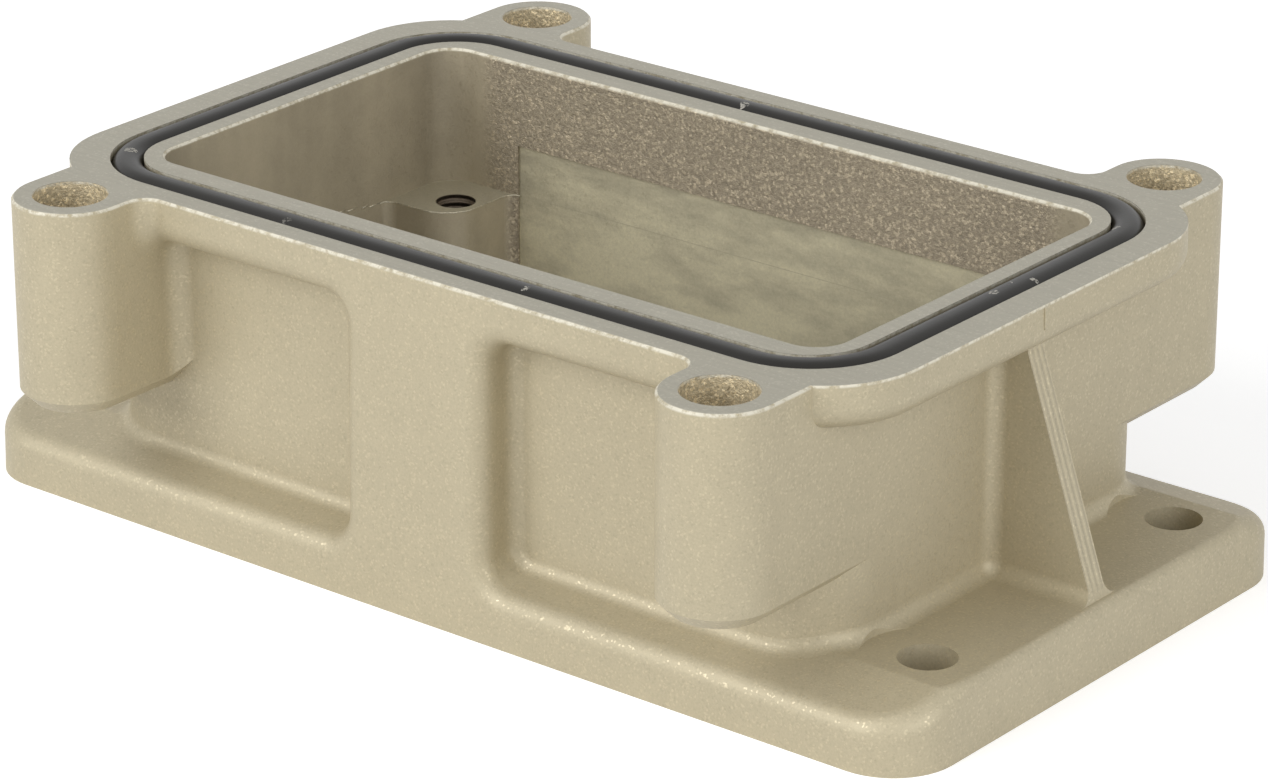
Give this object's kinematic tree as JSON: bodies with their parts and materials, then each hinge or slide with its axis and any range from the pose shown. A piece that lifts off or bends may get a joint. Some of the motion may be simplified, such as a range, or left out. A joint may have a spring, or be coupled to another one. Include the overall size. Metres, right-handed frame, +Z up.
{
  "type": "die-cast connector housing",
  "caption": "Rectangular die-cast alloy housing, open through the middle, with a flanged base, screw bosses under a sealed rim and a gusset rib at each end.",
  "frame": {"origin": "middle of the mounting face, under the middle of the cavity", "axes": "+X along the long side, +Y across, +Z up from the mounting face to the rim"},
  "size_m": [0.093, 0.065, 0.028],
  "materials": {
    "casting": "as-cast alloy with a thin grey-beige coat, milled on the rim face, slightly sparkling",
    "seal": "soft black rubber, satin"
  },
  "bodies": {
    "root": {"housing": "casting", "rim_seal": "seal", "panel_seal": "seal"}
  },
  "joints": []
}
